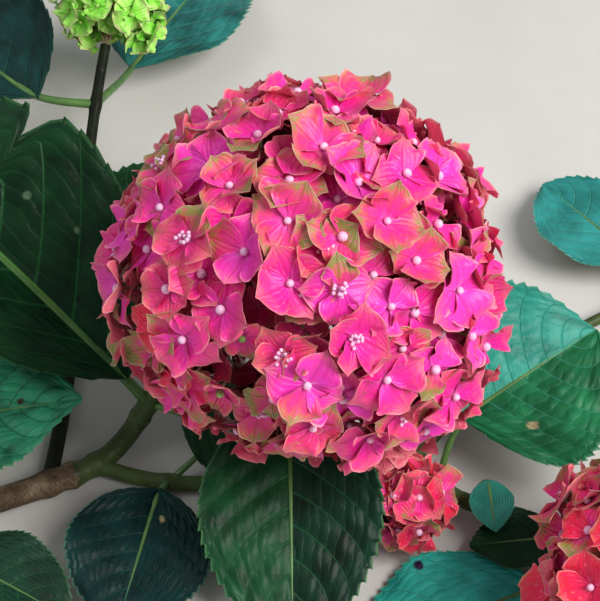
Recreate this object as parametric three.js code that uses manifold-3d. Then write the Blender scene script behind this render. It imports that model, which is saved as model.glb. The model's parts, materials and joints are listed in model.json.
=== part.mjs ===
// A cut flowering branch of a mophead hydrangea, laid down on a flat surface.
// Millimetres, +Z up. The branch lies along X with its cut end at -X; the large open
// flower head is held up over the middle of it. The origin is under the middle of the whole.
import * as THREE from "three";
import { mergeVertices } from "three/addons/utils/BufferGeometryUtils.js";
import Module from "manifold-3d";

const wasm = await Module();
wasm.setup();

// Driving sizes.
const GAP = 0.3; // clear space between a stem and what it carries
const MERGE_WITHIN = 1e-4; // points this near are one
const GOLDEN_ANGLE = 2.399963; // between one floret of a head and the next, radians
const FLORET_JITTER = 0.2; // how far a floret strays, as a share of the space it has
const LEAST_SINE = 0.2; // keeps that stray small round the top of a head
const FLORET_STRAY = 3; // how far a floret stands above or below its neighbours
const FLORET_TILT = 0.26; // the most a floret leans off square, radians
const FLORET_SPREAD = 0.13; // florets are this share larger or smaller than the mean
const FLORET_NOTCH = 0.6; // width between two sepals, against the width over their tips
const FLORET_CUP = 0.07; // rise of the sepal tips, against the floret's width
const FLORET_DIP = 0.02; // fall of the notches between sepals, against the same
const FLORET_ROOT = 5; // how far a floret reaches into the core
const FLORET_SEPALS = 4;
const CORE_SIDES = 14;
const CORE_RINGS = 6;
const CORE_NECK_SHARES = [0.5, 0.9]; // rings between the skirt and the neck
const LEAF_TEETH = 7; // teeth on each side of a leaf
const LEAF_TOOTH_DEPTH = 0.07; // depth of a tooth, against the half width
const LEAF_NOTCH_AT = 0.12; // where a tooth starts and peaks, as shares of its length
const LEAF_PEAK_AT = 0.8;
const LEAF_BASE_ROUND = 0.75; // how blunt the outline is: 0 would be square, 1 pointed
const LEAF_TIP_ROUND = 0.95;
const LEAF_THICKNESS = 0.0125; // against the leaf's length
const LEAF_WAVE = 0.05; // ripple of the margin, against the half width
const LEAF_WAVES = 2.5; // ripples from base to tip
const LEAF_WAVE_LAG = 1.3; // how far the left margin's ripple runs ahead of the right's, radians
const STALK_OVERLAP = 0.1; // share of the blade's length that its stalk runs on under
const PETIOLE_LEAST = 0.9; // radius of a leaf stalk: this, and a share of the blade's length
const PETIOLE_SHARE = 0.008;
const PETIOLE_FOOT = 1.15; // the stalk's radius at its foot, against that, and what it loses
const PETIOLE_TAPER = 0.3;
const PETIOLE_SIDES = 5;
const PETIOLE_RINGS = 4;
const STEM_SIDES = 7;
const STEM_RINGS = 6;
const STEM_HANDLE = 0.38; // how stiffly a stem keeps its heading at both ends
const KNUCKLE = 0.22; // swelling of a stem at its nodes, against its radius
const KNUCKLE_REACH = 3.5; // how far the swelling reaches along the stem
const KNUCKLE_EDGE = 1.5; // where rings bound the swelling, against that reach
const RING_CLEAR = 0.012; // least distance between two rings, as a share of a stem's length
const BUD_START = 0.88; // where the bud begins on a stem that ends in one
const BUD_TAPER = 0.9; // how much of its radius the bud loses by its tip

// Colours.
const BARK = 0x6b5a40;
const GREEN_STEM = 0x3d5a24;
const LEAF_GREEN = 0x1f5430;

// Where the stems start and meet. The axis of the cane is one radius above the floor.
const CUT_END = [-300, -112, 6.6];
const LOW_NODE = [-172, -46, 7.4];
const FORK = [-98, -18, 6.6];
const UPPER_NODE = [-69, 6, 18];
const RIGHT_NODE = [66, -28, 6];
const FAR_TIP = [202, 102, 12];

// Flower heads. facing is the heading and rise of the axis in degrees; neck is how far
// behind the centre the stem arrives; skirt is the angle off the axis where the florets end;
// core is how far the solid middle lies below the florets. A swell lifts the surface, or
// sinks it when negative, around one direction, over a reach in degrees.
const HEADS = [
  {
    name: "main_bloom",
    centre: [0, -5, 126],
    facing: [-63, 56],
    radius: 76,
    neck: 50,
    skirt: 115,
    core: 10,
    florets: 114,
    width: 31,
    seed: 7,
    colour: 0xd83d80,
    swells: [
      { facing: [-35, -25], reach: 26, lift: 0.14 },
      { facing: [-6, -5], reach: 16, lift: -0.08 },
      { facing: [20, 16], reach: 24, lift: 0.05 },
      { facing: [59, 35], reach: 20, lift: -0.08 },
      { facing: [96, 39], reach: 16, lift: 0.03 },
      { facing: [130, 32], reach: 18, lift: -0.1 },
      { facing: [164, 13], reach: 20, lift: -0.11 },
      { facing: [178, 0], reach: 12, lift: 0.07 },
      { facing: [-152, -21], reach: 24, lift: -0.12 },
      { facing: [-90, -39], reach: 26, lift: -0.12 },
      { facing: [-106, 36], reach: 10, lift: -0.1 },
      { facing: [-110, 14], reach: 10, lift: -0.14 },
      { facing: [-112, -12], reach: 11, lift: -0.18 },
    ],
  },
  {
    name: "second_bloom",
    centre: [45, -42, 22],
    facing: [-50, 42],
    radius: 17,
    neck: 12,
    skirt: 115,
    core: 5,
    florets: 11,
    width: 25,
    seed: 19,
    colour: 0xba3f51,
    swells: [],
  },
  {
    name: "third_bloom",
    centre: [141, -94, 49.5],
    facing: [-60, 50],
    radius: 46,
    neck: 32,
    skirt: 115,
    core: 9,
    florets: 36,
    width: 32,
    seed: 31,
    colour: 0xd03559,
    swells: [{ facing: [-172, 2], reach: 40, lift: -0.15 }],
  },
  {
    name: "young_bloom",
    centre: [-90, 220, 60],
    facing: [80, 25],
    radius: 25,
    neck: 19,
    skirt: 122,
    core: 6,
    florets: 20,
    width: 18,
    seed: 43,
    colour: 0x7fcb58,
    swells: [{ facing: [-70, 5], reach: 22, lift: -0.2 }],
  },
];

// Stems. Each runs between two places and keeps a heading and rise, in degrees, at each end.
const STEMS = [
  {
    name: "cane_low", from: CUT_END, leave: [30, 0],
    to: LOW_NODE, arrive: [16, 0], radius: [6.6, 6], woody: true,
  },
  {
    name: "cane_top", from: LOW_NODE, leave: [16, 0],
    to: FORK, arrive: [24, 0], radius: [6, 5.4], woody: true,
  },
  {
    name: "main_low", from: FORK, leave: [24, 0],
    to: UPPER_NODE, arrive: [46, 42], radius: [5, 4.4],
  },
  {
    name: "main_up", from: UPPER_NODE, leave: [46, 42],
    head: "main_bloom", radius: [4.2, 3.4],
  },
  {
    name: "young_shoot", beside: "cane_top", at: 0.86, leave: [84, -8.5],
    head: "young_bloom", radius: [3.6, 2.6],
  },
  {
    name: "right_shoot", beside: "main_low", at: 0.26, leave: [-24, -6],
    to: RIGHT_NODE, arrive: [-30, 2], radius: [3.6, 3.2],
  },
  {
    name: "second_shoot", beside: "right_shoot", at: 0.68, leave: [16, 20],
    head: "second_bloom", radius: [2.6, 2.3],
  },
  {
    name: "third_shoot", from: RIGHT_NODE, leave: [-30, 2],
    head: "third_bloom", radius: [3.2, 2.8],
  },
  {
    name: "far_shoot", beside: "right_shoot", at: 0.86, leave: [56, 6],
    to: FAR_TIP, arrive: [25, 10], radius: [3, 2.4], bud: true,
  },
];

// Leaves. petiole and blade give a heading and rise in degrees, and a length; half is the
// half width; fold lifts both halves off flat, roll turns the blade about its midrib, and
// droop bends it down towards the tip, all in degrees.
const LEAVES = [
  {
    name: "leaf_large", on: "main_up", at: 0.06, petiole: [166, 60, 17],
    blade: [142, 27, 186], half: 64, fold: 30, roll: 0, droop: 10,
  },
  {
    name: "leaf_low_inner", on: "main_up", at: 0.06, petiole: [-30, 16, 18],
    blade: [-20, -2, 64], half: 27, fold: 10, roll: 0, droop: 16,
  },
  {
    name: "leaf_front", on: "main_up", at: 0.6, petiole: [-52, -10, 45],
    blade: [-89, -8, 112], half: 40, fold: 10, roll: 0, droop: 34,
  },
  {
    name: "leaf_back", on: "main_up", at: 0.6, petiole: [59, 8, 55],
    blade: [82, -28, 93], half: 35, fold: 10, roll: 0, droop: 30,
  },
  {
    name: "leaf_low_left", on: "right_shoot", at: 0.2, petiole: [-110, 40, 13],
    blade: [-103, -2, 72], half: 33, fold: 12, roll: -6, droop: 10,
  },
  {
    name: "leaf_low_back", on: "right_shoot", at: 0.2, petiole: [40, 18, 18],
    blade: [60, -2, 60], half: 22, fold: 10, roll: 0, droop: 8,
  },
  {
    name: "leaf_left_tip", on: "cane_top", at: 0.08, petiole: [110, 42, 42],
    blade: [3, 15, 86], half: 38, fold: 8, roll: 0, droop: 8,
  },
  {
    name: "leaf_corner", on: "cane_top", at: 0.08, petiole: [-50, 20, 30],
    blade: [-27, -4, 61], half: 24, fold: 10, roll: 0, droop: 10,
  },
  {
    name: "leaf_upper_left", on: "young_shoot", at: 0.88, petiole: [178, 6, 28],
    blade: [136, 2, 132], half: 48, fold: 12, roll: 0, droop: 18,
  },
  {
    name: "leaf_upper", on: "young_shoot", at: 0.88, petiole: [72, -22, 48],
    blade: [66, -2, 112], half: 39, fold: 10, roll: 0, droop: 14,
  },
  {
    name: "leaf_middle", on: "young_shoot", at: 0.38, petiole: [25, 37, 26],
    blade: [70, 2, 92], half: 37, fold: 12, roll: 0, droop: 16,
  },
  {
    name: "leaf_middle_left", on: "young_shoot", at: 0.38, petiole: [170, 30, 22],
    blade: [150, 0, 78], half: 29, fold: 12, roll: 0, droop: 22,
  },
  {
    name: "leaf_right", on: "right_shoot", at: 0.96, petiole: [60, 50, 34],
    blade: [29, 20, 72], half: 49, fold: 12, roll: 18, droop: 16,
  },
  {
    name: "leaf_small", on: "third_shoot", at: 0.09, petiole: [8, 62, 17],
    blade: [-84, -8, 24], half: 10, fold: 10, roll: 0, droop: 8,
  },
  {
    name: "leaf_low_right", on: "third_shoot", at: 0.42, petiole: [-86, 7, 30],
    blade: [-160, -2, 86], half: 34, fold: 6, roll: 6, droop: 8,
  },
  {
    name: "leaf_low_dark", on: "third_shoot", at: 0.42, petiole: [-32, 26, 15],
    blade: [184, -1, 38], half: 16, fold: 8, roll: 0, droop: 6,
  },
  {
    name: "leaf_far", on: "far_shoot", at: 0.8, petiole: [110, 35, 14],
    blade: [127, 4, 70], half: 30, fold: 12, roll: 0, droop: 16,
  },
  {
    name: "leaf_far_right", on: "far_shoot", at: 0.8, petiole: [-40, 17, 24],
    blade: [-46, -1, 72], half: 28, fold: 12, roll: 0, droop: 20,
  },
];

const RADIANS = Math.PI / 180;
const UP = new THREE.Vector3(0, 0, 1);

// The same run of chances for the same seed.
function chances(seed) {
  let state = seed;
  return () => {
    state = (state * 16807) % 2147483647;
    return state / 2147483647;
  };
}

// The direction with a heading and rise in degrees.
function facing([heading, rise]) {
  const h = heading * RADIANS;
  const r = rise * RADIANS;
  return new THREE.Vector3(Math.cos(r) * Math.cos(h), Math.cos(r) * Math.sin(h), Math.sin(r));
}

function place(list) {
  return new THREE.Vector3(...list);
}

// A direction square to the axis and level, and the one square to both.
function sideways(axis) {
  const right = new THREE.Vector3().crossVectors(axis, UP).normalize();
  return [right, new THREE.Vector3().crossVectors(right, axis)];
}

// Points and triangles gathered into a closed mesh.
function gather(points, triangles) {
  const geometry = new THREE.BufferGeometry();
  const position = new Float32Array(points.length * 3);
  points.forEach((point, i) => point.toArray(position, i * 3));
  geometry.setAttribute("position", new THREE.BufferAttribute(position, 3));
  geometry.setIndex(triangles.flat());
  return mergeVertices(geometry, MERGE_WITHIN);
}

function solid(geometry) {
  return new wasm.Manifold(
    new wasm.Mesh({
      numProp: 3,
      vertProperties: new Float32Array(geometry.attributes.position.array),
      triVerts: new Uint32Array(geometry.index.array),
    }),
  );
}

// The largest closed surface of a joined solid: scraps and sealed hollows are left out.
function outerSkin(joined) {
  const mesh = joined.getMesh();
  const { vertProperties: coordinates, triVerts: corners, numProp: step } = mesh;
  const points = [];
  for (let i = 0; i < coordinates.length; i += step)
    points.push(new THREE.Vector3(coordinates[i], coordinates[i + 1], coordinates[i + 2]));
  const leader = points.map((_, i) => i);
  const find = (i) => {
    while (leader[i] !== i) i = leader[i] = leader[leader[i]];
    return i;
  };
  for (let i = 0; i < corners.length; i += 3) {
    leader[find(corners[i + 1])] = find(corners[i]);
    leader[find(corners[i + 2])] = find(corners[i]);
  }
  const shells = new Map();
  for (let i = 0; i < corners.length; i += 3) {
    const shell = find(corners[i]);
    if (!shells.has(shell)) shells.set(shell, { volume: 0, triangles: [] });
    const [a, b, c] = [points[corners[i]], points[corners[i + 1]], points[corners[i + 2]]];
    shells.get(shell).volume += a.dot(new THREE.Vector3().crossVectors(b, c)) / 6;
    shells.get(shell).triangles.push([corners[i], corners[i + 1], corners[i + 2]]);
  }
  const largest = [...shells.values()].sort((a, b) => b.volume - a.volume)[0];
  return gather(points, largest.triangles);
}

// Triangles between two rings of as many points each.
function band(first, second, count) {
  const triangles = [];
  for (let i = 0; i < count; i++) {
    const j = (i + 1) % count;
    triangles.push([first + i, first + j, second + j], [first + i, second + j, second + i]);
  }
  return triangles;
}

// A round solid along a curve: rings of a given radius, closed at both ends.
function rod(curve, radiusAt, sides, stations) {
  const points = [];
  const triangles = [];
  stations.forEach((t, ring) => {
    const [right, over] = sideways(curve.getTangent(t));
    for (let i = 0; i < sides; i++) {
      const angle = (2 * Math.PI * i) / sides;
      const spoke = over.clone().multiplyScalar(Math.cos(angle)).addScaledVector(right, Math.sin(angle));
      points.push(curve.getPoint(t).addScaledVector(spoke, radiusAt(t)));
    }
    if (ring) triangles.push(...band((ring - 1) * sides, ring * sides, sides));
  });
  const start = points.push(curve.getPoint(stations[0])) - 1;
  const end = points.push(curve.getPoint(stations.at(-1))) - 1;
  const last = (stations.length - 1) * sides;
  for (let i = 0; i < sides; i++) {
    const j = (i + 1) % sides;
    triangles.push([start, j, i], [end, last + i, last + j]);
  }
  return gather(points, triangles);
}

function curveBetween(from, leave, to, arrive) {
  const handle = from.distanceTo(to) * STEM_HANDLE;
  return new THREE.CubicBezierCurve3(
    from,
    from.clone().addScaledVector(leave, handle),
    to.clone().addScaledVector(arrive, -handle),
    to,
  );
}

// Something that grows out of a stem's side, cut back so that it stands clear of the stem.
function clearOf(stem, grown) {
  const room = rod(stem.curve, (t) => stem.radiusAt(t) + GAP, STEM_SIDES, stem.rings);
  return outerSkin(grown.subtract(solid(room)));
}

const evenly = (count) => Array.from({ length: count + 1 }, (_, i) => i / count);

const heads = new Map(HEADS.map((head) => [head.name, head]));
const stems = new Map();

// Where along a stem its leaves and side stems stand, each pair once.
function carried(name) {
  const leaves = LEAVES.filter((leaf) => leaf.on === name);
  const shoots = STEMS.filter((stem) => stem.beside === name);
  return [...new Set([...leaves, ...shoots].map(({ at }) => at))];
}

// Shares of a length from 0 to 1 in order, without those too near the one before or the end.
function spaced(shares) {
  const inner = shares.filter((t) => t > RING_CLEAR && t < 1 - RING_CLEAR).sort((a, b) => a - b);
  return [0, ...inner.filter((t, i) => i === 0 || t - inner[i - 1] > RING_CLEAR), 1];
}

// A stem between two places, or out of another stem's side, or up to a flower head.
function stemMesh(stem) {
  const leave = facing(stem.leave);
  const head = heads.get(stem.head);
  const arrive = facing(head ? head.facing : stem.arrive);
  const [first, last] = stem.radius;
  const parent = stems.get(stem.beside);
  const cut = stem.from === CUT_END;
  const from = parent ? parent.curve.getPoint(stem.at) : place(stem.from);
  if (!parent && !cut) from.addScaledVector(leave, GAP);
  const to = head ? place(head.centre).addScaledVector(arrive, -head.neck - GAP) : place(stem.to);
  stem.curve = curveBetween(from, leave, to, arrive);
  const nodes = carried(stem.name);
  if (!cut) nodes.push(0);
  if (!head && !stem.bud) nodes.push(1);
  const reach = KNUCKLE_REACH / stem.curve.getLength();
  stem.radiusAt = (t) => {
    const even = first + (last - first) * t;
    const knuckle = Math.max(...nodes.map((node) => Math.exp(-(((t - node) / reach) ** 2))));
    const intoBud = stem.bud ? Math.max(0, (t - BUD_START) / (1 - BUD_START)) : 0;
    return even * (1 + KNUCKLE * knuckle) * (1 - BUD_TAPER * intoBud * intoBud);
  };
  stems.set(stem.name, stem);
  const rings = evenly(STEM_RINGS);
  const edge = KNUCKLE_EDGE * reach;
  for (const node of nodes) rings.push(node - edge, node, node + edge);
  if (stem.bud) rings.push(BUD_START, (1 + BUD_START) / 2);
  stem.rings = spaced(rings);
  const whole = rod(stem.curve, stem.radiusAt, STEM_SIDES, stem.rings);
  return parent ? clearOf(parent, solid(whole)) : whole;
}

// Half the width of a leaf at a share of its length, against the widest.
function leafOutline(t) {
  const rise = (at) => at ** LEAF_BASE_ROUND * (1 - at) ** LEAF_TIP_ROUND;
  return rise(t) / rise(LEAF_BASE_ROUND / (LEAF_BASE_ROUND + LEAF_TIP_ROUND));
}

// A point of a leaf's middle surface: t runs from its base to its tip, v from edge to edge.
function leafPoint(leaf, t, v, halfWidth) {
  const droop = leaf.droop * RADIANS;
  const bend = droop * t;
  const fold = leaf.fold * RADIANS;
  const length = leaf.blade[2];
  const ripple = Math.sin(2 * Math.PI * LEAF_WAVES * t + (v > 0 ? 0 : LEAF_WAVE_LAG));
  const lift = Math.abs(v) * halfWidth * Math.sin(fold) + LEAF_WAVE * leaf.half * v * v * ripple;
  return leaf.base.clone()
    .addScaledVector(leaf.forward, (length * Math.sin(bend)) / droop)
    .addScaledVector(leaf.over, (-length * (1 - Math.cos(bend))) / droop)
    .addScaledVector(leaf.right, v * halfWidth * Math.cos(fold))
    .addScaledVector(leaf.forward, lift * Math.sin(bend))
    .addScaledVector(leaf.over, lift * Math.cos(bend));
}

// The blade between two rows of left edge, midrib top, right edge and midrib underside. Its
// upper and lower faces are split along the same diagonals, so they can't cross near the rim.
function bladeStrip(here, next) {
  const [left, top, right, under] = [here, here + 1, here + 2, here + 3];
  const [nextLeft, nextTop, nextRight, nextUnder] = [next, next + 1, next + 2, next + 3];
  return [
    [left, top, nextTop],
    [left, nextTop, nextLeft],
    [top, right, nextRight],
    [top, nextRight, nextTop],
    [right, under, nextRight],
    [under, nextUnder, nextRight],
    [under, left, nextUnder],
    [left, nextLeft, nextUnder],
  ];
}

// The blade: toothed along both margins, thick in the middle and sharp at the rim.
function bladeSolid(leaf) {
  const rows = [];
  for (let tooth = 0; tooth < LEAF_TEETH; tooth++) {
    rows.push({ t: (tooth + LEAF_NOTCH_AT) / LEAF_TEETH, scale: 1 - LEAF_TOOTH_DEPTH });
    rows.push({ t: (tooth + LEAF_PEAK_AT) / LEAF_TEETH, scale: 1 });
  }
  const thick = leaf.over.clone().multiplyScalar(-LEAF_THICKNESS * leaf.blade[2]);
  const points = [leafPoint(leaf, 0, 0, 0)];
  const triangles = [];
  rows.forEach(({ t, scale }) => {
    const half = leaf.half * leafOutline(t) * scale;
    for (const v of [-1, 0, 1]) points.push(leafPoint(leaf, t, v, half));
    points.push(leafPoint(leaf, t, 0, half).add(thick));
  });
  points.push(leafPoint(leaf, 1, 0, 0));
  const last = 1 + (rows.length - 1) * 4;
  for (let here = 1; here < last; here += 4) triangles.push(...bladeStrip(here, here + 4));
  const end = points.length - 1;
  for (let i = 0; i < 4; i++) {
    const j = (i + 1) % 4;
    triangles.push([0, 1 + j, 1 + i], [end, last + i, last + j]);
  }
  return solid(gather(points, triangles));
}

// A leaf with its stalk, which stands a hair clear of the stem that carries it.
function leafMesh(leaf) {
  const stem = stems.get(leaf.on);
  const reach = facing(leaf.petiole);
  const stout = PETIOLE_LEAST + leaf.blade[2] * PETIOLE_SHARE;
  const node = stem.curve.getPoint(leaf.at);
  leaf.base = node.clone().addScaledVector(reach, leaf.petiole[2]);
  leaf.forward = facing(leaf.blade);
  const [right, over] = sideways(leaf.forward);
  const roll = leaf.roll * RADIANS;
  leaf.right = right.clone().multiplyScalar(Math.cos(roll)).addScaledVector(over, -Math.sin(roll));
  leaf.over = new THREE.Vector3().crossVectors(leaf.right, leaf.forward);
  const halfThick = (LEAF_THICKNESS * leaf.blade[2]) / 2;
  const inside = leafPoint(leaf, STALK_OVERLAP, 0, 0).addScaledVector(leaf.over, -halfThick);
  const path = curveBetween(node, reach, inside, leaf.forward);
  const radiusAt = (t) => stout * (PETIOLE_FOOT - PETIOLE_TAPER * t);
  const stalk = rod(path, radiusAt, PETIOLE_SIDES, evenly(PETIOLE_RINGS));
  return clearOf(stem, bladeSolid(leaf).add(solid(stalk)));
}

// How far from the centre a head's florets stand in one direction.
function headReach(head, direction) {
  let share = 1;
  for (const swell of head.swells) {
    const away = direction.angleTo(facing(swell.facing)) / (swell.reach * RADIANS);
    share += swell.lift * Math.exp(-away * away);
  }
  return head.radius * share;
}

function headDirection(head, off, round) {
  return head.axis.clone().multiplyScalar(Math.cos(off))
    .addScaledVector(head.over, Math.sin(off) * Math.cos(round))
    .addScaledVector(head.right, Math.sin(off) * Math.sin(round));
}

// The solid middle of a head: a dome below the florets that narrows to the stem behind.
function coreSolid(head) {
  const skirt = head.skirt * RADIANS;
  const centre = place(head.centre);
  const top = headReach(head, head.axis) - head.core;
  const middle = centre.clone().addScaledVector(head.axis, -head.neck);
  const points = [centre.clone().addScaledVector(head.axis, top)];
  const triangles = [];
  const ring = (pointAt) => {
    const first = points.length;
    for (let i = 0; i < CORE_SIDES; i++) points.push(pointAt((2 * Math.PI * i) / CORE_SIDES));
    return first;
  };
  const dome = (off) => (round) => {
    const direction = headDirection(head, off, round);
    return centre.clone().addScaledVector(direction, headReach(head, direction) - head.core);
  };
  const rings = [];
  for (let i = 1; i <= CORE_RINGS; i++) rings.push(ring(dome((skirt * i) / CORE_RINGS)));
  for (const share of CORE_NECK_SHARES) rings.push(ring((round) => dome(skirt)(round).lerp(middle, share)));
  const end = points.push(middle) - 1;
  for (let i = 0; i < CORE_SIDES; i++) {
    const j = (i + 1) % CORE_SIDES;
    triangles.push([0, rings[0] + i, rings[0] + j], [end, rings.at(-1) + j, rings.at(-1) + i]);
  }
  for (let i = 1; i < rings.length; i++) triangles.push(...band(rings[i], rings[i - 1], CORE_SIDES));
  return solid(gather(points, triangles));
}

// One floret: a shallow four-sepalled star that tapers to a point inside the core.
function floretSolid(head, centre, normal, spin, width) {
  const [right, over] = sideways(normal);
  const points = [centre.clone(), centre.clone().addScaledVector(normal, -head.core - FLORET_ROOT)];
  const triangles = [];
  const corners = 2 * FLORET_SEPALS;
  for (let i = 0; i < corners; i++) {
    const angle = spin + (2 * Math.PI * i) / corners;
    const tip = i % 2 === 0;
    const reach = (width / 2) * (tip ? 1 : FLORET_NOTCH);
    const rise = tip ? width * FLORET_CUP : -width * FLORET_DIP;
    points.push(
      centre.clone()
        .addScaledVector(over, reach * Math.cos(angle))
        .addScaledVector(right, reach * Math.sin(angle))
        .addScaledVector(normal, rise),
    );
    const j = (i + 1) % corners;
    triangles.push([0, 2 + i, 2 + j], [1, 2 + j, 2 + i]);
  }
  return solid(gather(points, triangles));
}

// The florets follow a golden spiral out from the top of the head, each a little astray.
function headMesh(head) {
  head.axis = facing(head.facing);
  [head.right, head.over] = sideways(head.axis);
  const chance = chances(head.seed);
  const least = Math.cos(head.skirt * RADIANS);
  const stray = FLORET_JITTER * Math.sqrt((2 * Math.PI * (1 - least)) / head.florets);
  const parts = [coreSolid(head)];
  for (let i = 0; i < head.florets; i++) {
    const even = Math.acos(1 - ((i + 0.5) / head.florets) * (1 - least));
    const off = Math.abs(even + (chance() * 2 - 1) * stray);
    const round = i * GOLDEN_ANGLE + ((chance() * 2 - 1) * stray) / Math.max(Math.sin(off), LEAST_SINE);
    const direction = headDirection(head, off, round);
    const level = headReach(head, direction) + (chance() * 2 - 1) * FLORET_STRAY;
    const lean = chance() * FLORET_TILT;
    const [right, over] = sideways(direction);
    const towards = chance() * 2 * Math.PI;
    const normal = direction.clone().multiplyScalar(Math.cos(lean))
      .addScaledVector(right, Math.sin(lean) * Math.cos(towards))
      .addScaledVector(over, Math.sin(lean) * Math.sin(towards));
    const spin = (chance() * 2 * Math.PI) / FLORET_SEPALS;
    const width = head.width * (1 + (chance() * 2 - 1) * FLORET_SPREAD);
    const centre = place(head.centre).addScaledVector(direction, level);
    parts.push(floretSolid(head, centre, normal, spin, width));
  }
  return outerSkin(wasm.Manifold.union(parts));
}

const branch = new THREE.Group();

function include(name, geometry, colour, roughness) {
  geometry.computeVertexNormals();
  const material = new THREE.MeshStandardMaterial({ color: colour, roughness, metalness: 0 });
  const mesh = new THREE.Mesh(geometry, material);
  mesh.name = name;
  branch.add(mesh);
}

for (const stem of STEMS) include(stem.name, stemMesh(stem), stem.woody ? BARK : GREEN_STEM, 0.6);
for (const leaf of LEAVES) include(leaf.name, leafMesh(leaf), LEAF_GREEN, 0.4);
for (const head of HEADS) include(head.name, headMesh(head), head.colour, 0.7);

// Everything is moved so that the origin is on the floor under the middle of the whole.
const bounds = new THREE.Box3().setFromObject(branch);
const middle = bounds.getCenter(new THREE.Vector3());
branch.position.set(-middle.x, -middle.y, -bounds.min.z);

export default branch;
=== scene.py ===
"""A cut flowering branch of a mophead hydrangea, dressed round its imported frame.

Sizes and places are in millimetres, as in the part's source, and meshes are made in metres.
Each stem, leaf and flower head grows again here by the source's rule, carried to finer detail.
"""
import json
from math import acos, cos, pi, radians, sin, sqrt
from types import SimpleNamespace

import bpy
import numpy as np
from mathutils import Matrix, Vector


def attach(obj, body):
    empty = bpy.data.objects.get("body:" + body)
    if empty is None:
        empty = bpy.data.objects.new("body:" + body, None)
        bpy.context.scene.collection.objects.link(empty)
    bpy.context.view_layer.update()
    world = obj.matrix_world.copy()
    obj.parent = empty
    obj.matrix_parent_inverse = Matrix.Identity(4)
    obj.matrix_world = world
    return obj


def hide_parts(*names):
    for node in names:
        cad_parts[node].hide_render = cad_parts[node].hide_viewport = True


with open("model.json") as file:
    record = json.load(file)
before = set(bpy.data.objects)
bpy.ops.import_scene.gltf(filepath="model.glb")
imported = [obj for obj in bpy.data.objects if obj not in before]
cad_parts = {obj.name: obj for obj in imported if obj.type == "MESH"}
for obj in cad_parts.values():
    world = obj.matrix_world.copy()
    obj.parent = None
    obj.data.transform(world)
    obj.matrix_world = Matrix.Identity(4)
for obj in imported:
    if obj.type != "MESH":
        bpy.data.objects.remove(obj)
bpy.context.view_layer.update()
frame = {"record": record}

MM = 0.001

# The rule of the part's source.
GOLDEN_ANGLE = 2.399963  # between one floret of a head and the next, radians
FLORET_JITTER = 0.2  # how far a floret strays, as a share of the space it has
FLORET_STRAY = 3  # how far a floret stands above or below its neighbours
FLORET_TILT = 0.26  # the most a floret leans off square, radians
FLORET_SPREAD = 0.13  # florets are this share larger or smaller than the mean
LEAF_TEETH = 7  # teeth of the source's leaf, on each side
LEAF_BASE_ROUND = 0.75  # how blunt the outline is: 0 would be square, 1 pointed
LEAF_TIP_ROUND = 0.95
LEAF_WAVE = 0.05  # ripple of the margin, against the half width
LEAF_WAVES = 2.5  # ripples from base to tip
LEAF_WAVE_LAG = 1.3  # how far the left margin's ripple runs ahead of the right's, radians
STALK_OVERLAP = 0.1  # share of the blade's length that its stalk runs on under
PETIOLE_LEAST = 0.9  # radius of a leaf stalk: this, and a share of the blade's length
PETIOLE_SHARE = 0.008
PETIOLE_FOOT = 1.15  # the stalk's radius at its foot, against that, and what it loses
PETIOLE_TAPER = 0.3
STEM_HANDLE = 0.38  # how stiffly a stem keeps its heading at both ends
KNUCKLE = 0.22  # swelling of a stem at its nodes, against its radius
KNUCKLE_REACH = 3.5  # how far the swelling reaches along the stem
BUD_START = 0.88  # where the bud begins on a stem that ends in one
BUD_TAPER = 0.9  # how much of its radius the bud loses by its tip

# Where the stems start and meet.
CUT_END = (-300, -112, 6.6)
LOW_NODE = (-172, -46, 7.4)
FORK = (-98, -18, 6.6)
UPPER_NODE = (-69, 6, 18)
RIGHT_NODE = (66, -28, 6)
FAR_TIP = (202, 102, 12)


class Row(dict):
    """A row of a table. Its entries are also read as attributes, and one it lacks is None."""

    __getattr__ = dict.get


# Flower heads, as in the source. facing, and a swell's facing, are a heading and a rise. Only
# here: clefts, the directions in which florets are small and low over the source's hollow,
# opened, the florets with open middles, and spare, by how much more the finer florets reach
# round behind.
HEADS = {
    "main_bloom": Row(
        centre=(0, -5, 126), facing=(-63, 56), radius=76, neck=50, skirt=115,
        florets=114, width=31, seed=7,
        swells=[
            ((-35, -25), 26, 0.14), ((-6, -5), 16, -0.08), ((20, 16), 24, 0.05),
            ((59, 35), 20, -0.08), ((96, 39), 16, 0.03), ((130, 32), 18, -0.1),
            ((164, 13), 20, -0.11), ((178, 0), 12, 0.07), ((-152, -21), 24, -0.12),
            ((-90, -39), 26, -0.12), ((-106, 36), 10, -0.1), ((-110, 14), 10, -0.14),
            ((-112, -12), 11, -0.18),
        ],
        clefts=[(-104, 40), (-109, 27), (-110, 14), (-111, 0), (-112, -14)],
        opened=(1, 9, 14, 24, 38, 50, 56),
    ),
    "second_bloom": Row(
        centre=(45, -42, 22), facing=(-50, 42), radius=17, neck=12, skirt=115,
        florets=11, width=25, seed=19, swells=[],
    ),
    "third_bloom": Row(
        centre=(141, -94, 49.5), facing=(-60, 50), radius=46, neck=32, skirt=115,
        florets=36, width=32, seed=31, swells=[((-172, 2), 40, -0.15)],
    ),
    "young_bloom": Row(
        centre=(-90, 220, 60), facing=(80, 25), radius=25, neck=19, skirt=122,
        florets=20, width=18, seed=43, swells=[((-70, 5), 22, -0.2)], spare=22,
        clefts=[(-86, rise) for rise in range(65, -86, -30)],
    ),
}

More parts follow.
